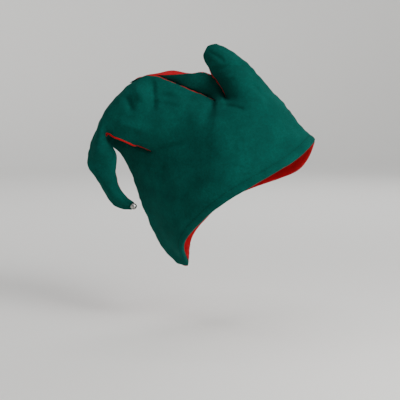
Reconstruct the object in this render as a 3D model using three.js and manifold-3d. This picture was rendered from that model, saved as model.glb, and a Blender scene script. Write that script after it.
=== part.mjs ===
// A two-tone felt elf hat: a crown with a front horn, a middle point and a long drooping
// rear point, made of one green and one red panel seamed together, with a bell on the rear tip.
// Millimetres. +X is forward, +Y is the wearer's left and +Z is up.
// The origin is inside the top of the crown, where the wearer's head bears.
import * as THREE from "three";
import { mergeVertices } from "three/addons/utils/BufferGeometryUtils.js";
import Module from "manifold-3d";

const wasm = await Module();
wasm.setup();

// Hat sizes
const hatLength = 300; // front corner of the hem to the back of the drooping point
const hatHeight = 290; // nape corner to the tip of the front horn
const halfWidth = 77; // middle plane to the widest part of the crown

// Felt
const feltWall = 2;
const seamGap = 0.3; // clear space between the two panels at their seam
const hemTurn = 12; // height of the turned-up hem
const hemStep = 2.5; // height over which the hem's second layer ends
const fullCrown = 0.06; // extra roundness of the crown between hem and points, of halfWidth
const domeFullness = 3.2; // how long the crown stays wide below the notches: 2 is a round dome
const uprightFullness = 2.8; // how long it stays wide below the points
const settleRounds = 12; // smoothing passes over the draped cloth
const settleShare = 0.5; // how far a place moves to its neighbours' middle in one pass
const hemLayers = 2; // the hem is turned up, so its felt is double

// Bell
const bellRadius = 4.2;
const bellWall = 0.5;
const slotWidth = 1;
const slotDepth = 4.4; // reach of the slots up from the bell's lowest point
const slotReach = 6.3; // length of each slot across the bell
const loopRadius = 1.2; // middle of the wire that forms the bell's loop
const wireRadius = 0.32;
const ballRadius = 1.5;
const threadRadius = 0.28;
const clearance = 0.3; // between pieces that touch

const bellWay = new THREE.Vector3(0.17, -0.77, -0.62).normalize(); // from the felt tip to the bell

// Facets
const roundSides = 16;
const wireSides = 6;
const mergeDistance = 1e-4; // corners nearer than this are one

// A table becomes rows with named columns, so that each row reads as one section.
function table(names, rows) {
  const keys = names.split(" ");
  return rows.map((row) => Object.fromEntries(keys.map((key, i) => [key, row[i]])));
}

// The sections of the points, from the crown outwards. Each runs from its front seam (fx fy fz)
// to its rear seam (rx ry rz). x is a share of hatLength and z of hatHeight. y and the fullness
// of the green and the red side are shares of halfWidth.
const sectionColumns = "fx fy fz rx ry rz green red";

const frontHorn = table(sectionColumns, [
  [0.267, 0, -0.007, 0.018, 0, 0.019, 0.52, 0.52],
  [0.223, 0, 0.038, 0.006, 0, 0.048, 0.45, 0.45],
  [0.18, 0, 0.086, -0.013, 0, 0.079, 0.38, 0.38],
  [0.139, 0, 0.137, -0.034, 0, 0.107, 0.31, 0.31],
  [0.095, 0.01, 0.182, -0.058, 0.01, 0.145, 0.25, 0.25],
  [0.052, 0.02, 0.212, -0.077, 0.02, 0.182, 0.19, 0.19],
  [0.01, 0.03, 0.24, -0.083, 0.03, 0.21, 0.14, 0.14],
  [-0.027, 0.04, 0.256, -0.063, 0.04, 0.246, 0, 0],
]);

const middlePoint = table(sectionColumns, [
  [0.018, 0, 0.019, -0.027, 0, 0.002, 0.1, 0.29],
  [0.004, 0.08, 0.054, -0.058, 0.09, 0.016, 0.05, 0.24],
  [-0.022, 0.08, 0.095, -0.105, 0.08, 0.036, 0.05, 0.22],
  [-0.06, 0.03, 0.134, -0.155, 0.05, 0.057, 0.04, 0.2],
  [-0.16, -0.12, 0.12, -0.215, 0.06, 0.082, 0.03, 0.2],
  [-0.25, -0.17, 0.117, -0.285, 0.03, 0.104, 0.02, 0.17],
  [-0.33, -0.18, 0.112, -0.343, -0.05, 0.1, 0.02, 0.11],
  [-0.385, -0.15, 0.09, -0.39, -0.12, 0.081, 0, 0],
]);

const rearPoint = table(sectionColumns, [
  [-0.027, 0, 0.002, -0.295, -0.28, -0.221, 0.44, 0.7],
  [-0.079, -0.05, 0.033, -0.327, -0.38, -0.205, 0.38, 0.6],
  [-0.145, -0.1, 0.06, -0.36, -0.44, -0.191, 0.32, 0.5],
  [-0.216, -0.15, 0.09, -0.392, -0.5, -0.178, 0.27, 0.43],
  [-0.284, -0.2, 0.12, -0.425, -0.5, -0.164, 0.23, 0.36],
  [-0.335, -0.24, 0.109, -0.452, -0.49, -0.153, 0.21, 0.3],
  [-0.388, -0.27, 0.079, -0.47, -0.46, -0.145, 0.2, 0.22],
  [-0.44, -0.29, 0.028, -0.482, -0.43, -0.139, 0.2, 0.16],
  [-0.49, -0.31, -0.028, -0.486, -0.4, -0.15, 0.2, 0.14],
  [-0.526, -0.32, -0.103, -0.476, -0.38, -0.17, 0.2, 0.15],
  [-0.556, -0.32, -0.176, -0.456, -0.36, -0.205, 0.19, 0.14],
  [-0.576, -0.32, -0.255, -0.438, -0.35, -0.243, 0.18, 0.14],
  [-0.567, -0.31, -0.3, -0.448, -0.34, -0.297, 0.17, 0.12],
  [-0.532, -0.3, -0.348, -0.442, -0.32, -0.355, 0.16, 0.11],
  [-0.507, -0.29, -0.397, -0.424, -0.31, -0.398, 0.14, 0.1],
  [-0.474, -0.27, -0.452, -0.402, -0.29, -0.424, 0.12, 0.09],
  [-0.425, -0.26, -0.481, -0.388, -0.26, -0.437, 0.08, 0.08],
  [-0.381, -0.26, -0.479, -0.375, -0.26, -0.445, 0, 0],
]);

const backShoulder = table(sectionColumns, [
  [-0.295, -0.28, -0.221, -0.446, 0, -0.232, 0.08, 0.5],
  [-0.36, -0.16, -0.195, -0.487, 0, -0.2, 0.05, 0.36],
  [-0.43, -0.08, -0.158, -0.512, 0, -0.173, 0.05, 0.2],
  [-0.505, 0, -0.137, -0.524, 0, -0.15, 0, 0],
]);

// The points in order from front to back. hemEnd is where the columns of cloth below the
// point's rear seam reach the hem, as a share of the hem's length from front to back. pinch is
// how sharply the cloth closes at its seams: 1 is a round section and 2 one with sharp edges.
// stand is how far the crown runs up into the point instead of closing over the head.
const points = [
  { sections: frontHorn, columns: 10, rows: 12, hemEnd: 0.46, pinch: 1.1, stand: 1, rolls: true },
  { sections: middlePoint, columns: 5, rows: 12, hemEnd: 0.54, pinch: 1.2, stand: 0, rolls: true },
  { sections: rearPoint, columns: 12, rows: 28, hemEnd: 0.86, pinch: 1.5, stand: 1, rolls: true },
  { sections: backShoulder, columns: 4, rows: 4, hemEnd: 1, pinch: 1.3, stand: 0.5, rolls: false },
];
const crownRows = 10; // rows of cloth between the hem's fold and the points

// Hem from the front corner to the nape corner. drop lowers the red side.
const hemLine = table("x y z drop", [
  [0.4, 0, -0.164, 0],
  [0.376, 0.34, -0.188, 0.045],
  [0.327, 0.57, -0.238, 0.068],
  [0.235, 0.82, -0.297, 0.055],
  [0.125, 0.97, -0.366, 0.03],
  [0.022, 0.975, -0.434, 0.012],
  [-0.04, 0.9, -0.486, 0],
  [-0.1, 0.75, -0.548, 0],
  [-0.144, 0.56, -0.607, 0],
  [-0.16, 0.38, -0.662, 0],
  [-0.147, 0, -0.738, 0],
]);

// Seams of the crown from the hem up to the points.
const frontSeam = table("x z", [
  [0.4, -0.164],
  [0.345, -0.112],
  [0.322, -0.082],
  [0.267, -0.007],
]);
const backSeam = table("x z", [
  [-0.147, -0.738],
  [-0.207, -0.728],
  [-0.253, -0.679],
  [-0.307, -0.579],
  [-0.343, -0.493],
  [-0.378, -0.392],
  [-0.401, -0.314],
  [-0.446, -0.232],
]);

const acrossHat = new THREE.Vector3(0, 1, 0);

function place(x, y, z) {
  return new THREE.Vector3(x * hatLength, y * halfWidth, z * hatHeight);
}

function smoothLine(pointList) {
  return new THREE.CatmullRomCurve3(pointList, false, "catmullrom", 0.5);
}

// Middle direction of a section: square to its width and to the way that its point runs, or
// straight across the hat where the point doesn't roll.
function sectionNormal(front, rear, row, step, rolls) {
  const here = Math.min(row + step, 1);
  const back = Math.max(row - step, 0);
  const middle = (at) => front.getPoint(at).add(rear.getPoint(at)).multiplyScalar(0.5);
  const run = middle(here).sub(middle(back));
  const width = rear.getPoint(row).sub(front.getPoint(row));
  const normal = new THREE.Vector3().crossVectors(run, width).normalize();
  return rolls ? normal.multiplyScalar(Math.sign(normal.y)) : acrossHat.clone();
}

// One point's cloth on one side, as rows of places from the crown outwards.
// Each row is half of a rounded section, from the front seam to the rear seam.
function pointRows(point, side) {
  const sections = point.sections;
  const front = smoothLine(sections.map((s) => place(s.fx, s.fy, s.fz)));
  const rear = smoothLine(sections.map((s) => place(s.rx, s.ry, s.rz)));
  const colour = side < 0 ? "green" : "red";
  const fullness = smoothLine(sections.map((s) => new THREE.Vector3(s[colour] * halfWidth, 0, 0)));
  const rows = [];
  for (let i = 0; i <= point.rows; i += 1) {
    const at = i / point.rows;
    const halfStep = 1 / (2 * point.rows);
    const normal = sectionNormal(front, rear, at, halfStep, point.rolls);
    const full = Math.max(fullness.getPoint(at).x, 0);
    const row = [];
    for (let k = 0; k <= point.columns; k += 1) {
      const share = k / point.columns;
      const round = (1 - Math.cos(Math.PI * share)) / 2;
      const across = (share + round) / 2;
      const middle = front.getPoint(at).lerp(rear.getPoint(at), across);
      const arch = (4 * across * (1 - across)) ** (point.pinch / 2);
      const spot = middle.clone().addScaledVector(normal, side * (seamGap / 2 + full * arch));
      row.push({ spot, middle, normal, seam: k === 0 || k === point.columns || i === point.rows });
    }
    rows.push(row);
  }
  return rows;
}

function seamCurve(rows) {
  return smoothLine(rows.map((s) => place(s.x, 0, s.z)));
}

// How much of the hem's width is left at a share of the way up a column of cloth. Columns that
// end in a notch close over the head like a dome; those under a point run on into it.
function widthLeft(up, notch) {
  const dome = Math.sqrt(Math.max(1 - up ** domeFullness, 0));
  const upright = 1 - up ** uprightFullness;
  return notch * dome + (1 - notch) * upright;
}

// The crown's cloth on one side: rows from the hem up to the first rows of the points.
function crownGrid(side, shoulder) {
  const drop = side > 0 ? 1 : 0;
  const hem = smoothLine(hemLine.map((s) => place(s.x, side * s.y, s.z - drop * s.drop)));
  const front = seamCurve(frontSeam);
  const back = seamCurve(backSeam);
  const low = { front: hem.getPointAt(0), back: hem.getPointAt(1) };
  const high = { front: shoulder[0].spot, back: shoulder[shoulder.length - 1].spot };
  const grid = [];
  const hemRows = 2;
  for (let j = 0; j < crownRows + hemRows; j += 1) {
    grid.push(shoulder.map((top) => {
      const foot = hem.getPointAt(top.share);
      const columnLength = foot.distanceTo(top.spot);
      const fold = (hemTurn + hemStep) / columnLength;
      const rise = Math.sin((Math.PI / 2) * Math.max((j - hemRows) / crownRows, 0));
      const up = [0, hemTurn / columnLength][j] ?? fold + (1 - fold) * rise;
      const spot = foot.clone().lerp(top.spot, up);
      spot.addScaledVector(front.getPointAt(up).sub(low.front.clone().lerp(high.front, up)), 1 - top.share);
      spot.addScaledVector(back.getPointAt(up).sub(low.back.clone().lerp(high.back, up)), top.share);
      const swell = side * fullCrown * halfWidth * Math.sin(Math.PI * up) * Math.sin(Math.PI * top.share);
      spot.y = top.spot.y + (foot.y - top.spot.y) * widthLeft(up, top.notch) + swell;
      const seam = top.share === 0 || top.share === 1;
      if (seam) {
        spot.y = (side * seamGap) / 2;
      }
      const middle = new THREE.Vector3(spot.x, top.middle.y * up, spot.z);
      const layers = j < hemRows ? hemLayers : 1;
      return { spot, middle, normal: acrossHat.clone(), seam, layers };
    }));
  }
  return grid;
}

// The row where the crown meets the points, with each column's share along the hem and how
// close it is to a notch between two points.
function shoulderRow(strips) {
  const row = [];
  points.forEach((point, p) => {
    const hemStart = p === 0 ? 0 : points[p - 1].hemEnd;
    const first = p === 0 ? 0 : 1;
    for (let k = first; k <= point.columns; k += 1) {
      const share = hemStart + ((point.hemEnd - hemStart) * k) / point.columns;
      const notch = 1 - point.stand * Math.sin((Math.PI * k) / point.columns);
      row.push({ ...strips[p][0][k], share, notch });
    }
  });
  return row;
}

// A sheet of cloth: its places, with the layers of felt at each, and the faces between them.
function clothSheet(side) {
  const strips = points.map((point) => pointRows(point, side));
  const shoulder = shoulderRow(strips);
  const crown = crownGrid(side, shoulder);
  const spots = [];
  const faces = [];
  const add = (cell, layers) => {
    spots.push({ ...cell, layers });
    return spots.length - 1;
  };
  const weave = (rowA, rowB) => {
    for (let k = 0; k + 1 < rowA.length; k += 1) {
      faces.push([rowA[k], rowB[k], rowB[k + 1], rowA[k + 1]]);
    }
  };
  const ids = crown.map((row) => row.map((cell) => add(cell, cell.layers)));
  ids.push(shoulder.map((cell) => add(cell, 1)));
  for (let j = 0; j + 1 < ids.length; j += 1) {
    weave(ids[j], ids[j + 1]);
  }
  let start = 0;
  strips.forEach((strip, p) => {
    let last = ids[ids.length - 1].slice(start, start + points[p].columns + 1);
    for (let i = 1; i < strip.length; i += 1) {
      const next = strip[i].map((cell) => add(cell, 1));
      weave(last, next);
      last = next;
    }
    start += points[p].columns;
  });
  return { spots, faces, side };
}

// Edges that belong to one face only, in the order that their face runs.
function openEdges(faces) {
  const edges = new Map();
  faces.forEach((face) => face.forEach((from, i) => {
    const to = face[(i + 1) % face.length];
    edges.set(`${from}_${to}`, [from, to]);
  }));
  return [...edges.values()].filter(([from, to]) => !edges.has(`${to}_${from}`));
}

// How far a place lies to its own side of the hat's middle.
function depthOf(spot, cell, side) {
  return side * spot.clone().sub(cell.middle).dot(cell.normal);
}

// Moves a place out from the hat's middle where it is nearer to it than the least depth.
function keepClear(spot, cell, side, least) {
  return spot.addScaledVector(cell.normal, side * Math.max(least - depthOf(spot, cell, side), 0));
}

// Cloth settles: every place inside the sheet moves part of the way to its neighbours' middle.
function relax(sheet) {
  const edge = new Set(openEdges(sheet.faces).flat());
  const near = sheet.spots.map(() => new Set());
  sheet.faces.forEach((face) => face.forEach((from, i) => {
    const to = face[(i + 1) % face.length];
    near[from].add(to);
    near[to].add(from);
  }));
  const least = sheet.spots.map((cell) => (
    Math.min(depthOf(cell.spot, cell, sheet.side), seamGap / 2 + feltWall)));
  for (let round = 0; round < settleRounds; round += 1) {
    const middles = near.map((set) => {
      const middle = new THREE.Vector3();
      set.forEach((other) => middle.addScaledVector(sheet.spots[other].spot, 1 / set.size));
      return middle;
    });
    sheet.spots.forEach((cell, i) => {
      if (!edge.has(i)) {
        keepClear(cell.spot.lerp(middles[i], settleShare), cell, sheet.side, least[i]);
      }
    });
  }
}

// Directions that point out of the hat at each place of the sheet.
function outwardNormals(sheet) {
  const normals = sheet.spots.map(() => new THREE.Vector3());
  sheet.faces.forEach((face) => {
    const [a, b, c, d] = face.map((i) => sheet.spots[i].spot);
    const square = new THREE.Vector3().crossVectors(c.clone().sub(a), d.clone().sub(b));
    face.forEach((i) => normals[i].addScaledVector(square, sheet.side > 0 ? -1 : 1));
  });
  return normals;
}

// The way along the seam at each of its places.
function seamRuns(sheet, open) {
  const runs = sheet.spots.map(() => new THREE.Vector3());
  open.filter((edge) => edge.every((i) => sheet.spots[i].seam)).forEach(([from, to]) => {
    const run = sheet.spots[to].spot.clone().sub(sheet.spots[from].spot);
    runs[from].add(run);
    runs[to].add(run);
  });
  return runs;
}

// The sheet given its felt thickness inwards. Along a seam the thickness keeps to the seam's own
// plane, so that the two panels meet edge to edge, and nowhere does it pass the hat's middle.
function thicken(sheet) {
  const normals = outwardNormals(sheet);
  const open = openEdges(sheet.faces);
  const runs = seamRuns(sheet, open);
  const total = sheet.spots.length;
  const inner = sheet.spots.map((cell, i) => {
    const way = normals[i].clone();
    if (cell.seam) {
      const across = new THREE.Vector3().crossVectors(runs[i], cell.normal);
      way.copy(across.multiplyScalar(Math.sign(across.dot(way))));
    }
    way.normalize();
    const spot = cell.spot.clone().addScaledVector(way, -feltWall * cell.layers);
    return keepClear(spot, cell, sheet.side, seamGap / 2);
  });
  const flat = [...sheet.spots.map((cell) => cell.spot), ...inner].flatMap((v) => [v.x, v.y, v.z]);
  const quads = sheet.faces.map((face) => [...face]);
  quads.push(...sheet.faces.map((face) => face.map((i) => i + total).reverse()));
  quads.push(...open.map(([from, to]) => [to, from, from + total, to + total]));
  const triangles = quads.flatMap(([a, b, c, d]) => (
    sheet.side > 0 ? [a, c, b, a, d, c] : [a, b, c, a, c, d]));
  const geometry = new THREE.BufferGeometry();
  geometry.setAttribute("position", new THREE.Float32BufferAttribute(flat, 3));
  geometry.setIndex(triangles);
  return geometry;
}

function panelGeometry(side) {
  const sheet = clothSheet(side);
  relax(sheet);
  return thicken(sheet);
}

function toSolid(geometry) {
  const bare = geometry.clone();
  bare.deleteAttribute("normal");
  bare.deleteAttribute("uv");
  const merged = mergeVertices(bare, mergeDistance);
  return new wasm.Manifold(new wasm.Mesh({
    numProp: 3,
    vertProperties: new Float32Array(merged.attributes.position.array),
    triVerts: new Uint32Array(merged.index.array),
  }));
}

function toGeometry(solid) {
  const mesh = solid.getMesh();
  const geometry = new THREE.BufferGeometry();
  geometry.setAttribute("position", new THREE.Float32BufferAttribute(mesh.vertProperties, 3));
  geometry.setIndex([...mesh.triVerts]);
  return geometry;
}

// Bell, drawn round its own middle with its loop upwards
function bellShell() {
  const outer = toSolid(new THREE.SphereGeometry(bellRadius, roundSides, roundSides / 2));
  const hollow = toSolid(new THREE.SphereGeometry(bellRadius - bellWall, roundSides, roundSides / 2));
  return outer.subtract(hollow);
}

function bellSlots() {
  const height = slotDepth * 2;
  const slot = new THREE.BoxGeometry(slotReach, slotWidth, height);
  const first = toSolid(slot.clone().translate(0, 0, -bellRadius));
  const second = toSolid(slot.clone().rotateZ(Math.PI / 2).translate(0, 0, -bellRadius));
  return first.add(second);
}

function loopCentre() {
  return bellRadius + loopRadius - wireRadius;
}

function bellGeometry() {
  const loop = new THREE.TorusGeometry(loopRadius, wireRadius, wireSides, roundSides);
  const ring = toSolid(loop.rotateX(Math.PI / 2).translate(0, 0, loopCentre()));
  return toGeometry(bellShell().subtract(bellSlots()).add(ring));
}

function ballGeometry() {
  const ball = new THREE.SphereGeometry(ballRadius, roundSides / 2, roundSides / 2);
  return ball.translate(0, 0, -(bellRadius - bellWall - ballRadius - clearance));
}

function threadGeometry() {
  const loop = new THREE.TorusGeometry(loopRadius, threadRadius, wireSides, roundSides);
  return loop.rotateY(Math.PI / 2).translate(0, 0, loopCentre() + loopRadius);
}

function felt(colour) {
  return new THREE.MeshStandardMaterial({ color: colour, roughness: 0.95, metalness: 0 });
}

function part(name, geometry, material) {
  const mesh = new THREE.Mesh(geometry, material);
  mesh.name = name;
  return mesh;
}

// The bell is sewn to the end of the rear point, with its thread just clear of the felt.
function bellGroup() {
  const silver = new THREE.MeshStandardMaterial({ color: 0xb9b8b2, roughness: 0.25, metalness: 1 });
  const cotton = new THREE.MeshStandardMaterial({ color: 0x0a3a35, roughness: 0.9, metalness: 0 });
  const group = new THREE.Group();
  const tip = rearPoint[rearPoint.length - 1];
  const reach = loopCentre() + 2 * loopRadius + threadRadius + clearance;
  group.quaternion.setFromUnitVectors(new THREE.Vector3(0, 0, -1), bellWay);
  group.position.copy(place(tip.rx, tip.ry, tip.rz)).addScaledVector(bellWay, reach);
  group.add(part("tail_bell", bellGeometry(), silver));
  group.add(part("bell_ball", ballGeometry(), silver.clone()));
  group.add(part("bell_thread", threadGeometry(), cotton));
  return group;
}

const hat = new THREE.Group();
hat.add(part("right_panel", panelGeometry(-1), felt(0x045a4d)));
hat.add(part("left_panel", panelGeometry(1), felt(0xc01826)));
hat.add(bellGroup());

export default hat;
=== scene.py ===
import math

import bmesh
import bpy
import numpy as np
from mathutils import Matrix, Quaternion, Vector, noise
from mathutils.bvhtree import BVHTree
from mathutils.kdtree import KDTree


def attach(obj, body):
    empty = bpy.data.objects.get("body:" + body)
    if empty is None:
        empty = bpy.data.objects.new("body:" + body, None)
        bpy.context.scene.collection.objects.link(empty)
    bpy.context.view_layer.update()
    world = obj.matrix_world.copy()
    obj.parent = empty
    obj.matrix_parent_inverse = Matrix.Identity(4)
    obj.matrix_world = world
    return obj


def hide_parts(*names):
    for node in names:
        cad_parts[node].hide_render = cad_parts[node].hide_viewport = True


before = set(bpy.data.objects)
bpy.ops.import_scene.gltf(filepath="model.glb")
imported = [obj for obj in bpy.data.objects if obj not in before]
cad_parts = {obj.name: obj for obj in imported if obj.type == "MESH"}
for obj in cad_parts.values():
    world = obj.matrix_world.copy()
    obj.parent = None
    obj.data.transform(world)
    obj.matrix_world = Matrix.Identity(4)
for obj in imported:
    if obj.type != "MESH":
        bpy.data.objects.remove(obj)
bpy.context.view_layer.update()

MM = 0.001

# View of the photograph
PHOTO_SIDE = 400  # pixels
PIXEL = 1.3 * MM  # size of a pixel at the hat's middle plane
VIEW_TARGET = Vector((-0.0286, 0, -0.1274))
VIEW_DISTANCE = 1.3
VIEW_AZIMUTH = math.radians(8)
VIEW_ELEVATION = math.radians(6)
SENSOR = 36

# Felt
GREEN_AREA = 0.058  # square metres of felt in each panel
RED_AREA = 0.0625
SUBDIVISIONS = 2
WELD = 0.01 * MM  # corners nearer than this are one
JOIN_ANGLE = math.radians(60)  # triangles that lie flatter than this become squares
SEAM_REACH = 1 * MM  # rim places nearer than this to the other panel are on the seam
SAMPLE_STEP = 1 * MM  # spacing of the places that stand for a seam or a hem
SHARP_FOLD = math.radians(55)
RIM_CREASE = 0.9
SEAM_PLAY = 1 * MM  # rims nearer than this to each other are drawn together
SLACK = 1.1 * MM  # size of the felt's soft waves
WAVE_LENGTH = 60 * MM
WAVE_SEED = 3
RIPPLE = 0.3 * MM
RIPPLE_LENGTH = 15 * MM
RIPPLE_SEED = 8
PUCKER = 1.2 * MM  # crinkle along the seams
PUCKER_LENGTH = 9 * MM
PUCKER_REACH = 6 * MM
PUCKER_SEED = 5
NOISE_SEED = 4
TUCK_START = 3 * MM  # the red side's moves grow over this distance from the seam
CREASE_GAIN = 3  # how many times deeper a crease is made than its depth in the table

# Hem
HEM_STITCH_HEIGHT = 10.5 * MM
STITCH_DENT = 0.45 * MM
STITCH_DENT_REACH = 1.3 * MM
STITCH_LENGTH = 2.5 * MM
STITCH_PITCH = 3.6 * MM
STITCH_RADIUS = 0.3 * MM
STITCH_SIDES = 6
STITCH_RINGS = 7
STITCH_ARCH = 1.6  # how far a stitch arches, in radii
STITCH_RAISED = 0.55  # share of the arch that stands above the felt
STITCH_TAPER = 0.8  # how much a stitch thins to its ends
STITCH_SMOOTHING = 40  # passes that make the row of stitches run evenly
HEM_ROLL = 1.1 * MM  # how far the turned-up hem stands out between its stitches and its fold
HEM_ROLL_HEIGHT = 5 * MM
HEM_ROLL_REACH = 3.6 * MM
HEM_SIDE = 4 * MM  # from the fold to a place beside the hem that finds the felt's outer side
STITCH_SIDE = 3 * MM  # how far beside the felt a stitch's place is looked for

# Bell, round its own middle, with its loop at the thread's end
BELL_MIDDLE = Vector((-111.134, -26.207, -134.032)) * MM
BELL_WAY = Vector((0.17, -0.77, -0.62)).normalized()  # from the felt tip to the bell
BELL_RADIUS = 4.2 * MM
BELL_WALL = 0.5 * MM
BELL_WELD = 0.005 * MM
BELL_CUTS = 3  # cuts in each edge of the bell's plates
BELL_BAND = 0.16 * MM  # how far the rolled band stands out
BELL_BAND_WIDTH = 0.32 * MM
FACET_PLAY = 0.17 * MM  # corners within this of the bell's radius are on its round wall
SMOOTH_FOLD = math.radians(38)  # folds flatter than this are shaded smooth
LOOP_RADIUS = 1.2 * MM
THREAD_LEVEL = Vector((0.08, 0.636, -0.768)).normalized()  # across the thread's loop
THREAD_LOOP_MIDDLE = 6.28 * MM  # from the bell's middle to that of the thread's loop
THREAD_TURNS = (-24, 0, 22)  # degrees between the passes of the thread
STRAND_RADIUS = 0.16 * MM
STRAND_TWISTS = 9
STRAND_SIDES = 6
STRAND_STEPS = 72

# Red edge of the felt that shows along three seams. Places are pixels of the photograph, and
# out is how far the edge stands beyond the seam, in millimetres.
LIPS = [
    {"line": [(219, 102), (188, 89), (155, 75)], "out": 1.0},
    {"line": [(155, 152), (130, 141), (108, 133)], "out": 1.7},
    {"line": [(213, 74), (221, 85), (225, 96)], "out": 1.4},
]
LIP_REACH = 7  # pixels from a line to the end of its edge
LIP_FADE = LIP_REACH * 2 / 3  # pixels over which the edge fades
LIP_DEPTH = 3.5 * MM
LIP_BEHIND = 14 * MM  # how far from the seam the cloth behind it is looked for

# Stage, in metres and watts
KEY_PLACE = Vector((0.62, -0.4, 0.32))
KEY_SIZE = 0.4
KEY_POWER = 5.8
KEY_COLOUR = (1, 0.985, 0.96)
SKY_POWER = 1.7  # watts a square metre
SKY_SOFTNESS = math.radians(25)
BACK_PLACE = Vector((0.5, 1.8, 1.1))
BACK_SIZE = 1.4
BACK_POWER = 10
WORLD_COLOUR = (0.93, 0.95, 1)
WORLD_STRENGTH = 0.25
FLOOR_COLOUR = (0.85, 0.84, 0.81)
FLOOR_HEIGHT = -0.29
FLOOR_MIDDLE = 0.01  # radius of the face at the floor's middle
FLOOR_RADIUS = 2.6
FLOOR_SIDES = 64
BACKDROP_RADIUS = 4.2
BACKDROP_HEIGHT = 1.6
BACKDROP_RINGS = 10
BACKDROP_LIGHTS = 4
BACKDROP_LIGHT_OUT = 0.9
BACKDROP_LIGHT_HEIGHT = 1.7
BACKDROP_LIGHT_SIZE = 1
BACKDROP_LIGHT_AIM = 3.2  # from the middle to the place on the floor that a light faces
BACKDROP_POWER = 20


def table(names, rows):
    """Rows with named columns."""
    keys = names.split()
    return [dict(zip(keys, row)) for row in rows]


# Creases of the felt, from (x1, y1) to (x2, y2) in pixels of the photograph. wide is in pixels
# and deep in millimetres: a crease goes in and a ridge, with a negative depth, comes out.
CREASES = table("x1 y1 x2 y2 wide deep", [
    (210, 53, 222, 60, 2.4, 0.8),
    (215, 70, 240, 64, 2.6, 1.3),
    (222, 77, 236, 76, 2.5, -0.7),
    (226, 105, 242, 108, 1.8, 1.0),
    (151, 78, 152, 107, 4.0, 2.8),
    (161, 84, 164, 102, 8.0, 1.4),
    (135, 84, 141, 97, 5.0, -1.8),
    (158, 96, 190, 98, 3.0, 1.1),
    (156, 104, 178, 107, 1.8, 0.7),
    (126, 99, 130, 108, 3.5, 1.7),
    (122, 124, 142, 130, 5.0, -1.2),
    (156, 149, 182, 144, 1.8, 0.8),
    (140, 162, 165, 167, 2.2, 0.6),
    (164, 168, 161, 190, 2.4, 0.6),
    (88, 169, 116, 166, 8.0, 2.0),
    (92, 154, 110, 147, 4.5, -1.0),
    (206, 160, 233, 149, 2.6, 0.5),
    (231, 166, 247, 170, 1.6, 0.5),
    (262, 152, 282, 141, 3.0, 0.6),
    (283, 118, 300, 134, 3.0, 0.6),
    (182, 196, 196, 180, 3.0, 0.7),
    (168, 226, 182, 214, 3.4, 0.8),
    (253, 84, 268, 101, 3.0, 0.6),
])

# Narrow gaps between the points, with their ends and widths in pixels as well. share is how much
# narrower they get.
GAPS = table("x1 y1 x2 y2 wide share", [
    (207, 76, 222, 97, 4, 0.7),
    (176, 84, 217, 101, 3, 0.6),
    (138, 145, 153, 151, 3, 0.6),
])

# Places of the photograph where the red side moves beside the green, all in pixels.
TUCKS = table("x y wide right up", [
    (111, 140, 5, -5, 1),
    (173, 75, 11, 0, 3),
])

# Places of the photograph where the near side fills out, in pixels, and how far, in millimetres.
FILLS = table("x y wide out", [
    (207, 104, 8, 7),
    (202, 115, 11, 8),
    (201, 128, 12, 7),
    (188, 117, 16, 4),
    (196, 140, 12, 3),
])
FILL_START = 10 * MM  # the fill grows from this distance beyond the hat's middle plane
FILL_DEPTH = 30 * MM


# Camera
def view_axes():
    """The camera's right, up and forward directions."""
    right = Vector((math.cos(VIEW_AZIMUTH), math.sin(VIEW_AZIMUTH), 0))
    level = Vector((-math.sin(VIEW_AZIMUTH), math.cos(VIEW_AZIMUTH), 0))
    forward = level * math.cos(VIEW_ELEVATION) - Vector((0, 0, math.sin(VIEW_ELEVATION)))
    return right, right.cross(forward), forward


def make_camera():
    """A camera at the photograph's viewing angle."""
    _, _, forward = view_axes()
    data = bpy.data.cameras.new("view")
    data.sensor_width = SENSOR
    data.lens = SENSOR * VIEW_DISTANCE / (PHOTO_SIDE * PIXEL)
    camera = bpy.data.objects.new("view", data)
    bpy.context.scene.collection.objects.link(camera)
    camera.location = VIEW_TARGET - forward * VIEW_DISTANCE
    camera.rotation_euler = forward.to_track_quat("-Z", "Y").to_euler()
    bpy.context.scene.camera = camera


def photo_place(points):
    """Where points are in the photograph, in pixels from its upper left corner."""
    right, up, forward = (np.array(axis) for axis in view_axes())
    eye = np.array(VIEW_TARGET) - forward * VIEW_DISTANCE
    rays = points - eye
    scale = VIEW_DISTANCE / PIXEL / (rays @ forward)
    middle = PHOTO_SIDE / 2
    return np.stack([middle + scale * (rays @ right), middle - scale * (rays @ up)], axis=1)


# Material helpers
def new_material(name, colour, roughness, metallic=0.0):
    """A material with its nodes, and its shader."""
    material = bpy.data.materials.new(name)
    material.use_nodes = True
    shader = material.node_tree.nodes["Principled BSDF"]
    shader.inputs["Base Color"].default_value = (*colour, 1)
    shader.inputs["Roughness"].default_value = roughness
    shader.inputs["Metallic"].default_value = metallic
    return material, shader


def noise_node(tree, scale, detail, rough=0.5, distortion=0.0):
    """Noise in the object's own metres."""
    place = tree.nodes.get("Place") or tree.nodes.new("ShaderNodeTexCoord")
    place.name = "Place"
    node = tree.nodes.new("ShaderNodeTexNoise")
    node.inputs["Scale"].default_value = scale
    node.inputs["Detail"].default_value = detail
    node.inputs["Roughness"].default_value = rough
    node.inputs["Distortion"].default_value = distortion
    tree.links.new(place.outputs["Object"], node.inputs["Vector"])
    return node.outputs["Fac"]


def spread(tree, value, low, high, from_low=0.3, from_high=0.7):
    """A value mapped from one range to another."""
    node = tree.nodes.new("ShaderNodeMapRange")
    node.inputs["From Min"].default_value = from_low
    node.inputs["From Max"].default_value = from_high
    node.inputs["To Min"].default_value = low
    node.inputs["To Max"].default_value = high
    tree.links.new(value, node.inputs["Value"])
    return node.outputs["Result"]


def times(tree, first, second):
    """Two values multiplied."""
    node = tree.nodes.new("ShaderNodeMath")
    node.operation = "MULTIPLY"
    tree.links.new(first, node.inputs[0])
    tree.links.new(second, node.inputs[1])
    return node.outputs["Value"]


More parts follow.
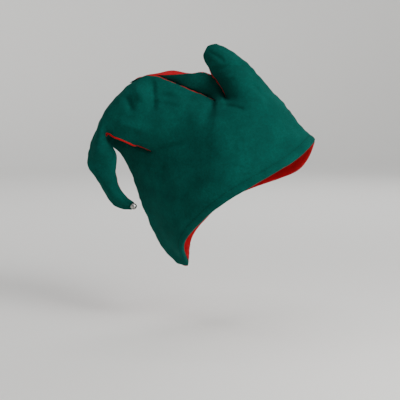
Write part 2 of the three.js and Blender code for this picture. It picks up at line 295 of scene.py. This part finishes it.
def mixed(tree, share, first, second):
    """Two colours mixed by a share."""
    node = tree.nodes.new("ShaderNodeMix")
    node.data_type = "RGBA"
    node.inputs["A"].default_value = (*first, 1)
    node.inputs["B"].default_value = (*second, 1)
    tree.links.new(share, node.inputs["Factor"])
    return node.outputs["Result"]


def add_bump(tree, shader, height, strength, distance):
    """Bump from a height, on top of any that the shader has."""
    node = tree.nodes.new("ShaderNodeBump")
    node.inputs["Strength"].default_value = strength
    node.inputs["Distance"].default_value = distance
    tree.links.new(height, node.inputs["Height"])
    if shader.inputs["Normal"].links:
        tree.links.new(shader.inputs["Normal"].links[0].from_socket, node.inputs["Normal"])
    tree.links.new(node.outputs["Normal"], shader.inputs["Normal"])


# Materials
def felt_material(name, shade, lit, sheen):
    """Soft brushed felt: cloudy colour, matted fibres and a light nap."""
    material, shader = new_material(name, lit, roughness=0.95)
    tree = material.node_tree
    clouds = noise_node(tree, scale=45, detail=4, rough=0.6)
    matting = noise_node(tree, scale=420, detail=4, rough=0.7, distortion=0.6)
    fibres = noise_node(tree, scale=2600, detail=3, rough=0.6, distortion=1.5)
    share = times(tree, spread(tree, clouds, low=0.5, high=1), spread(tree, matting, low=0.4, high=1))
    tree.links.new(mixed(tree, share, shade, lit), shader.inputs["Base Color"])
    tree.links.new(spread(tree, matting, low=0.82, high=1), shader.inputs["Roughness"])
    shader.inputs["Specular IOR Level"].default_value = 0.05
    shader.inputs["Sheen Weight"].default_value = 0.12
    shader.inputs["Sheen Roughness"].default_value = 0.45
    shader.inputs["Sheen Tint"].default_value = (*sheen, 1)
    add_bump(tree, shader, fibres, strength=0.8, distance=0.3 * MM)
    add_bump(tree, shader, matting, strength=0.7, distance=0.6 * MM)
    return material


def thread_material(name, colour):
    """Twisted cotton thread."""
    material, shader = new_material(name, colour, roughness=0.8)
    tree = material.node_tree
    twist = noise_node(tree, scale=1800, detail=2)
    dark = tuple(0.55 * part for part in colour)
    share = spread(tree, twist, low=0, high=1)
    tree.links.new(mixed(tree, share, dark, colour), shader.inputs["Base Color"])
    shader.inputs["Specular IOR Level"].default_value = 0.1
    add_bump(tree, shader, twist, strength=0.5, distance=0.1 * MM)
    return material


def bell_material():
    """Bright plating with fine scuffs."""
    dull, bright = (0.3, 0.29, 0.27), (0.6, 0.59, 0.56)
    material, shader = new_material("bell_plating", bright, roughness=0.25, metallic=1)
    tree = material.node_tree
    scuffs = noise_node(tree, scale=900, detail=5, rough=0.65, distortion=0.8)
    tree.links.new(spread(tree, scuffs, low=0.16, high=0.38), shader.inputs["Roughness"])
    share = spread(tree, scuffs, low=0, high=1)
    tree.links.new(mixed(tree, share, dull, bright), shader.inputs["Base Color"])
    add_bump(tree, shader, scuffs, strength=0.15, distance=0.05 * MM)
    return material


# Mesh helpers
def points_of(mesh):
    """A mesh's vertices as an array."""
    flat = np.zeros(len(mesh.vertices) * 3)
    mesh.vertices.foreach_get("co", flat)
    return flat.reshape(-1, 3)


def normals_of(mesh):
    """A mesh's vertex normals as an array."""
    flat = np.zeros(len(mesh.vertices) * 3)
    mesh.vertices.foreach_get("normal", flat)
    return flat.reshape(-1, 3)


def set_points(mesh, points):
    """Moves a mesh's vertices."""
    mesh.vertices.foreach_set("co", points.ravel())
    mesh.update()


def distances(points, targets):
    """The distance from each point to the nearest target."""
    tree = KDTree(len(targets))
    for i, target in enumerate(targets):
        tree.insert(target, i)
    tree.balance()
    return np.array([tree.find(point)[2] for point in points])


def finish_piece(piece, slot, material, *nodes):
    """A piece rides on the hat, takes its material, and stands for its nodes. Its slot is not used."""
    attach(piece, "root")
    piece.data.materials.clear()
    piece.data.materials.append(material)
    if nodes:
        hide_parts(*nodes)
    return piece


def object_from(name, mesh):
    """A new object that shows a mesh, smooth shaded."""
    piece = bpy.data.objects.new(name, mesh)
    bpy.context.scene.collection.objects.link(piece)
    for face in mesh.polygons:
        face.use_smooth = True
    return piece


def applied(piece):
    """The piece with its modifiers worked into its mesh."""
    shown = piece.evaluated_get(bpy.context.evaluated_depsgraph_get())
    mesh = bpy.data.meshes.new_from_object(shown)
    piece.modifiers.clear()
    piece.data = mesh
    return piece


# Felt panels
def welded_quads(node):
    """A copy of a node's mesh, welded, with its triangles joined to squares."""
    cloth = bmesh.new()
    cloth.from_mesh(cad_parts[node].data)
    bmesh.ops.remove_doubles(cloth, verts=cloth.verts, dist=WELD)
    bmesh.ops.join_triangles(
        cloth, faces=cloth.faces, angle_face_threshold=JOIN_ANGLE, angle_shape_threshold=JOIN_ANGLE)
    return cloth


def fine_panel(node, name):
    """The panel's felt as a smooth fine mesh, with the corners of its rim kept."""
    cloth = welded_quads(node)
    crease = cloth.edges.layers.float.new("crease_edge")
    for edge in cloth.edges:
        if len(edge.link_faces) == 2 and edge.calc_face_angle(0) > SHARP_FOLD:
            edge[crease] = RIM_CREASE
    mesh = bpy.data.meshes.new(name)
    cloth.to_mesh(mesh)
    cloth.free()
    piece = object_from(name, mesh)
    smooth = piece.modifiers.new("smooth", "SUBSURF")
    smooth.levels = SUBDIVISIONS
    smooth.render_levels = SUBDIVISIONS
    return applied(piece)


def edge_ends(cloth, edges):
    """Where edges of a mesh start and end, as two arrays."""
    return (np.array([edge.verts[0].co[:] for edge in edges]),
            np.array([edge.verts[1].co[:] for edge in edges]))


def along_edges(starts, ends):
    """Places along edges, a short step apart."""
    places = []
    for start, end in zip(starts, ends):
        steps = max(int(np.linalg.norm(end - start) / SAMPLE_STEP), 1)
        shares = np.arange(steps)[:, None] / steps
        places.append(start + (end - start) * shares)
    return np.concatenate(places)


def seam_places(cloth, other):
    """Places along the rim of a panel where it meets the other panel."""
    corners = np.array([v.co[:] for v in cloth.verts])
    near = distances(corners, [v.co for v in other.verts]) < SEAM_REACH
    cloth.verts.index_update()
    edges = [edge for edge in cloth.edges if all(near[v.index] for v in edge.verts)]
    return along_edges(*edge_ends(cloth, edges)), near


def chains(edges):
    """Edges joined into open lines of corners, the longest first."""
    reach = {}
    for edge in edges:
        for v in edge.verts:
            reach.setdefault(v, []).append(edge.other_vert(v))
    lines, seen = [], set()
    starts = sorted(reach, key=lambda v: (len(reach[v]), v.index))
    for start in starts:
        if start in seen:
            continue
        line, here = [], start
        while here is not None:
            seen.add(here)
            line.append(here)
            here = next((v for v in reach[here] if v not in seen), None)
        lines.append([v.co.copy() for v in line])
    return sorted(lines, key=lambda line: -sum((b - a).length for a, b in zip(line, line[1:])))


def hem_line(cloth, on_seam):
    """The outer lower edge of a panel, from one seam to the other."""
    sharp = [edge for edge in cloth.edges
             if len(edge.link_faces) == 2
             and edge.calc_face_angle(0) > SHARP_FOLD
             and not all(on_seam[v.index] for v in edge.verts)]
    both = chains(sharp)[:2]
    return max(both, key=lambda line: sum(abs(place.y) for place in line) / len(line))


def evenly(line, step):
    """Places and directions a step apart along a line."""
    places, run, carry = [], [], step / 2
    for start, end in zip(line, line[1:]):
        length = (end - start).length
        at = carry
        while at < length:
            places.append(start.lerp(end, at / length))
            run.append((end - start).normalized())
            at += step
        carry = at - length
    return places, run


def from_line(spots, start, end):
    """The ways from a straight line to spots of the photograph, in pixels."""
    start, end = np.array(start, float), np.array(end, float)
    way = end - start
    share = np.clip((spots - start) @ way / (way @ way), 0, 1)
    return spots - start - share[:, None] * way


def line_distance(spots, start, end):
    """The distance from spots of the photograph to a straight line, in pixels."""
    return np.linalg.norm(from_line(spots, start, end), axis=1)


def vector_noise(points, length, seed):
    """Smooth random directions that change over a length."""
    shift = Vector((seed, seed, seed))
    return np.array([noise.noise_vector(Vector(point) / length + shift)[:] for point in points])


def creased(points, side):
    """How far creases move points, seen from the panel's own side."""
    mirrored = points * np.array([1, -side, 1])
    spots = photo_place(mirrored)
    depth = np.zeros(len(points))
    for crease in CREASES:
        away = line_distance(spots, (crease["x1"], crease["y1"]), (crease["x2"], crease["y2"]))
        depth += CREASE_GAIN * crease["deep"] * MM * np.exp(-(away / crease["wide"]) ** 2)
    return depth[:, None] * np.array([0, -side, 0])


def squeezed(points):
    """How far the narrow gaps draw points together, in the plane of the photograph."""
    spots = photo_place(points)
    right, up, _ = (np.array(axis) for axis in view_axes())
    shift = np.zeros_like(points)
    for gap in GAPS:
        ways = from_line(spots, (gap["x1"], gap["y1"]), (gap["x2"], gap["y2"]))
        near = np.exp(-(np.linalg.norm(ways, axis=1) / gap["wide"]) ** 2)
        ways *= -gap["share"] * PIXEL * near[:, None]
        shift += ways[:, :1] * right - ways[:, 1:] * up
    return shift


def filled(points):
    """How far the near side of the crown fills out."""
    spots = photo_place(points)
    out = np.zeros(len(points))
    for fill in FILLS:
        away = np.linalg.norm(spots - np.array([fill["x"], fill["y"]]), axis=1)
        out += fill["out"] * MM * np.exp(-(away / fill["wide"]) ** 2)
    share = np.clip((FILL_START - points[:, 1]) / FILL_DEPTH, 0, 1)
    out *= share * share * (3 - 2 * share)
    return out[:, None] * np.array([0, -1, 0])


def tucked(points):
    """How far the red side moves beside the green."""
    spots = photo_place(points)
    right, up, _ = (np.array(axis) for axis in view_axes())
    shift = np.zeros_like(points)
    for tuck in TUCKS:
        away = np.linalg.norm(spots - np.array([tuck["x"], tuck["y"]]), axis=1)
        near = PIXEL * np.exp(-(away / tuck["wide"]) ** 2)[:, None]
        shift += near * (tuck["right"] * right + tuck["up"] * up)
    return shift


def closed(points, other):
    """Points near the other panel, drawn half way to it."""
    faces = [face.vertices[:] for face in other.polygons]
    surface = BVHTree.FromPolygons([v.co for v in other.vertices], faces)
    moved = points.copy()
    for k, point in enumerate(points):
        place, _, _, _ = surface.find_nearest(point, SEAM_PLAY)
        if place:
            moved[k] = (point + np.array(place)) / 2
    return moved


def lip_shift(points, seam, inward, amount_at):
    """Moves the rim beyond the seam, away from the cloth behind it."""
    tree = KDTree(len(seam))
    for i, place in enumerate(seam):
        tree.insert(place, i)
    tree.balance()
    shift = np.zeros_like(points)
    for k, point in enumerate(points):
        _, i, away = tree.find(point)
        if away < 2 * LIP_DEPTH and amount_at[i] > 0:
            shift[k] = -inward[i] * amount_at[i] * math.exp(-(away / LIP_DEPTH) ** 2)
    return shift


def cloth_behind(seam, points, reach):
    """The direction from each place of a seam into the cloth behind it."""
    tree = KDTree(len(points))
    for i, point in enumerate(points):
        tree.insert(point, i)
    tree.balance()
    ways = []
    for place in seam:
        found = [hit[0] for hit in tree.find_range(place, reach)]
        middle = sum(found, Vector()) / len(found)
        ways.append((middle - Vector(place)).normalized()[:])
    return np.array(ways)


def lip_amounts(seam):
    """How far the rim stands out at each place of the seam."""
    spots = photo_place(seam)
    amounts = np.zeros(len(seam))
    for lip in LIPS:
        away = np.min([line_distance(spots, a, b) for a, b in zip(lip["line"], lip["line"][1:])], axis=0)
        share = np.clip((LIP_REACH - away) / LIP_FADE, 0, 1)
        amounts = np.maximum(amounts, lip["out"] * MM * share)
    return amounts


def drape(piece, side, seam, hem):
    """The felt's waves, creases, puckered seams, rolled hem and pressed stitch line."""
    mesh = piece.data
    points, normals = points_of(mesh), normals_of(mesh)
    from_seam = distances(points, seam)
    near_seam = np.exp(-(from_seam / PUCKER_REACH) ** 2)[:, None]
    calm = 1 - np.exp(-(from_seam / (2 * PUCKER_REACH)) ** 2)[:, None]
    stitch = stitch_line(piece, hem)
    from_stitch = distances(points, [place for place, _, _ in stitch])
    dent = STITCH_DENT * np.exp(-(from_stitch / STITCH_DENT_REACH) ** 2)[:, None]
    from_hem = distances(points, evenly(hem, SAMPLE_STEP)[0])
    dent -= HEM_ROLL * np.exp(-((from_hem - HEM_ROLL_HEIGHT) / HEM_ROLL_REACH) ** 2)[:, None]
    moved = points + SLACK * calm * vector_noise(points, WAVE_LENGTH, WAVE_SEED + side)
    moved += RIPPLE * calm * vector_noise(points, RIPPLE_LENGTH, RIPPLE_SEED + side)
    moved += PUCKER * near_seam * vector_noise(points, PUCKER_LENGTH, PUCKER_SEED)
    moved += calm * creased(points, side)
    moved -= dent * normals
    set_points(mesh, moved)


def stitch_line(piece, hem):
    """Places, directions and outward ways of the stitches above the hem."""
    cloth = bmesh.new()
    cloth.from_mesh(piece.data)
    surface = BVHTree.FromBMesh(cloth)
    cloth.free()
    places = []
    for place, run in zip(*evenly(hem, STITCH_PITCH)):
        beside = place + Vector((0, math.copysign(HEM_SIDE, place.y), HEM_SIDE))
        _, out, _, _ = surface.find_nearest(beside)
        up = out.cross(run)
        up *= math.copysign(1, up.z)
        places.append(place + up * HEM_STITCH_HEIGHT + out * STITCH_SIDE)
    for _ in range(STITCH_SMOOTHING):
        middles = [(a + b * 2 + c) / 4 for a, b, c in zip(places, places[1:], places[2:])]
        places = [places[0], *middles, places[-1]]
    stitches = []
    for i, place in enumerate(places):
        spot, out, _, _ = surface.find_nearest(place)
        run = places[min(i + 1, len(places) - 1)] - places[max(i - 1, 0)]
        run -= out * run.dot(out)
        stitches.append((spot, run.normalized(), out))
    return stitches


def stitch_piece(name, stitches):
    """Short threads in a row, each dipping into the felt at its ends."""
    shape = bmesh.new()
    for spot, run, out in stitches:
        side = run.cross(out).normalized()
        last = None
        for i in range(STITCH_RINGS):
            along = i / (STITCH_RINGS - 1) * 2 - 1
            lift = (STITCH_RAISED - along ** 2) * STITCH_RADIUS * STITCH_ARCH
            radius = STITCH_RADIUS * math.sqrt(1 - STITCH_TAPER * along ** 4)
            centre = spot + run * along * STITCH_LENGTH / 2 + out * lift
            ring = []
            for k in range(STITCH_SIDES):
                turn = 2 * math.pi * k / STITCH_SIDES
                spoke = side * math.cos(turn) + out * math.sin(turn)
                ring.append(shape.verts.new(centre + spoke * radius))
            if last:
                for k in range(STITCH_SIDES):
                    m = (k + 1) % STITCH_SIDES
                    shape.faces.new((last[k], last[m], ring[m], ring[k]))
            else:
                shape.faces.new(ring[::-1])
            last = ring
        shape.faces.new(last)
    bmesh.ops.recalc_face_normals(shape, faces=shape.faces)
    mesh = bpy.data.meshes.new(name)
    shape.to_mesh(mesh)
    shape.free()
    return object_from(name, mesh)


def make_panels():
    """Both felt panels with their hem stitches."""
    cloths = {-1: welded_quads("right_panel"), 1: welded_quads("left_panel")}
    pieces = {-1: fine_panel("right_panel", "green_panel"), 1: fine_panel("left_panel", "red_panel")}
    joined = {side: closed(points_of(piece.data), pieces[-side].data) for side, piece in pieces.items()}
    looks = {
        -1: ("right_panel", "green", green_felt, green_thread, GREEN_AREA),
        1: ("left_panel", "red", red_felt, red_thread, RED_AREA),
    }
    for side, (node, colour, felt, thread, area) in looks.items():
        seam, on_seam = seam_places(cloths[side], cloths[-side])
        hem = hem_line(cloths[side], on_seam)
        piece, points = pieces[side], joined[side]
        points += squeezed(points) + filled(points)
        if side > 0:
            free = 1 - np.exp(-(distances(points, seam) / TUCK_START) ** 2)
            points += free[:, None] * tucked(points)
            coarse = np.array([v.co[:] for v in cloths[side].verts])
            inward = cloth_behind(seam, coarse, LIP_BEHIND)
            points += lip_shift(points, seam, inward, lip_amounts(seam))
        set_points(piece.data, points)
        drape(piece, side, seam, hem)
        finish_piece(piece, f"{colour}_felt", felt, node)
        stitches = stitch_piece(f"{colour}_hem_stitches", stitch_line(piece, hem))
        finish_piece(stitches, "thread", thread)


# Bell and thread
def make_bell():
    """The bell with round plates and a rolled band round its middle."""
    shell = bmesh.new()
    shell.from_mesh(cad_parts["tail_bell"].data)
    bmesh.ops.remove_doubles(shell, verts=shell.verts, dist=BELL_WELD)
    bmesh.ops.subdivide_edges(shell, edges=shell.edges, cuts=BELL_CUTS, use_grid_fill=True)
    for v in shell.verts:
        arm = v.co - BELL_MIDDLE
        band = BELL_BAND * math.exp(-(arm.dot(BELL_WAY) / BELL_BAND_WIDTH) ** 2)
        if abs(arm.length - BELL_RADIUS) < FACET_PLAY:
            v.co = BELL_MIDDLE + arm.normalized() * (BELL_RADIUS + band)
        elif abs(arm.length - BELL_RADIUS + BELL_WALL) < FACET_PLAY:
            v.co = BELL_MIDDLE + arm.normalized() * (BELL_RADIUS - BELL_WALL)
    for edge in shell.edges:
        edge.smooth = len(edge.link_faces) == 2 and edge.calc_face_angle(0) < SMOOTH_FOLD
    mesh = bpy.data.meshes.new("bell_shell")
    shell.to_mesh(mesh)
    shell.free()
    finish_piece(object_from("bell_shell", mesh), "bell_metal", plating, "tail_bell")


def strand(shape, middle, across, along, phase):
    """One strand of a twisted thread that runs round a loop."""
    out = across.cross(along)
    rings = []
    for i in range(STRAND_STEPS):
        turn = 2 * math.pi * i / STRAND_STEPS
        spoke = across * math.cos(turn) + along * math.sin(turn)
        twist = STRAND_TWISTS * turn + phase
        swing, lift = STRAND_RADIUS * math.cos(twist), STRAND_RADIUS * math.sin(twist)
        centre = middle + spoke * (LOOP_RADIUS + swing) + out * lift
        rings.append([
            shape.verts.new(centre + (spoke * math.cos(a) + out * math.sin(a)) * STRAND_RADIUS)
            for a in (2 * math.pi * k / STRAND_SIDES for k in range(STRAND_SIDES))])
    for ring, following in zip(rings, rings[1:] + rings[:1]):
        for k in range(STRAND_SIDES):
            m = (k + 1) % STRAND_SIDES
            shape.faces.new((ring[k], ring[m], following[m], following[k]))


def make_thread():
    """A few passes of twisted thread through the bell's loop and the felt tip."""
    middle = BELL_MIDDLE - BELL_WAY * THREAD_LOOP_MIDDLE
    shape = bmesh.new()
    for degrees in THREAD_TURNS:
        across = Quaternion(BELL_WAY, math.radians(degrees)) @ THREAD_LEVEL
        for phase in (0, math.pi):
            strand(shape, middle, across, BELL_WAY, phase)
    bmesh.ops.recalc_face_normals(shape, faces=shape.faces)
    mesh = bpy.data.meshes.new("thread_loops")
    shape.to_mesh(mesh)
    shape.free()
    finish_piece(object_from("thread_loops", mesh), "thread", green_thread, "bell_thread")


noise.seed_set(NOISE_SEED)
make_camera()
green_felt = felt_material(
    "felt_green", shade=(0, 0.026, 0.02), lit=(0, 0.082, 0.064), sheen=(0.02, 0.4, 0.35))
red_felt = felt_material(
    "felt_red", shade=(0.22, 0.003, 0.006), lit=(0.5, 0.012, 0.02), sheen=(0.8, 0.2, 0.2))
plating = bell_material()
green_thread = thread_material("thread_green", (0.001, 0.028, 0.022))
red_thread = thread_material("thread_red", (0.3, 0.006, 0.01))
make_panels()
make_bell()
make_thread()
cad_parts["bell_ball"].data.materials.clear()
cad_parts["bell_ball"].data.materials.append(plating)


# Stage
def make_floor():
    """A pale floor that rises far away all round."""
    mesh = bpy.data.meshes.new("floor")
    shape = bmesh.new()
    outline = [(FLOOR_MIDDLE, 0), (FLOOR_RADIUS, 0)]
    for i in range(1, BACKDROP_RINGS + 1):
        turn = math.pi / 2 * i / BACKDROP_RINGS
        outline.append((FLOOR_RADIUS + (BACKDROP_RADIUS - FLOOR_RADIUS) * math.sin(turn),
                        BACKDROP_HEIGHT * (1 - math.cos(turn))))
    turns = [2 * math.pi * k / FLOOR_SIDES for k in range(FLOOR_SIDES)]
    rings = []
    for radius, height in outline:
        rings.append([
            shape.verts.new((radius * math.cos(turn), radius * math.sin(turn), FLOOR_HEIGHT + height))
            for turn in turns])
    shape.faces.new(rings[0])
    for low, high in zip(rings, rings[1:]):
        for k in range(FLOOR_SIDES):
            m = (k + 1) % FLOOR_SIDES
            shape.faces.new((low[k], high[k], high[m], low[m]))
    bmesh.ops.recalc_face_normals(shape, faces=shape.faces)
    shape.to_mesh(mesh)
    shape.free()
    floor = object_from("floor", mesh)
    material, _ = new_material("floor_paper", FLOOR_COLOUR, roughness=0.9)
    mesh.materials.append(material)


def area_light(name, place, size, power, colour=(1, 1, 1), target=VIEW_TARGET):
    """A soft square light that faces a target, by default the hat."""
    data = bpy.data.lights.new(name, "AREA")
    data.shape = "SQUARE"
    data.size = size
    data.energy = power
    data.color = colour
    light = bpy.data.objects.new(name, data)
    bpy.context.scene.collection.objects.link(light)
    light.location = place
    light.visible_camera = False
    light.rotation_euler = (target - light.location).to_track_quat("-Z", "Y").to_euler()


def make_lights():
    """Soft studio light, mostly from the hat's front on the camera's side."""
    data = bpy.data.lights.new("sky", "SUN")
    data.energy = SKY_POWER
    data.angle = SKY_SOFTNESS
    sky = bpy.data.objects.new("sky", data)
    bpy.context.scene.collection.objects.link(sky)
    sky.rotation_euler = (-KEY_PLACE).to_track_quat("-Z", "Y").to_euler()
    area_light("key", KEY_PLACE, KEY_SIZE, KEY_POWER, KEY_COLOUR)
    area_light("back", BACK_PLACE, BACK_SIZE, BACK_POWER)
    for i in range(BACKDROP_LIGHTS):
        turn = 2 * math.pi * i / BACKDROP_LIGHTS
        way = Vector((math.cos(turn), math.sin(turn), 0))
        place = way * BACKDROP_LIGHT_OUT + Vector((0, 0, BACKDROP_LIGHT_HEIGHT))
        aim = way * BACKDROP_LIGHT_AIM
        area_light(f"backdrop_{i}", place, BACKDROP_LIGHT_SIZE, BACKDROP_POWER, target=aim)
    world = bpy.data.worlds.new("studio")
    bpy.context.scene.world = world
    world.use_nodes = True
    background = world.node_tree.nodes["Background"]
    background.inputs["Color"].default_value = (*WORLD_COLOUR, 1)
    background.inputs["Strength"].default_value = WORLD_STRENGTH


make_floor()
make_lights()
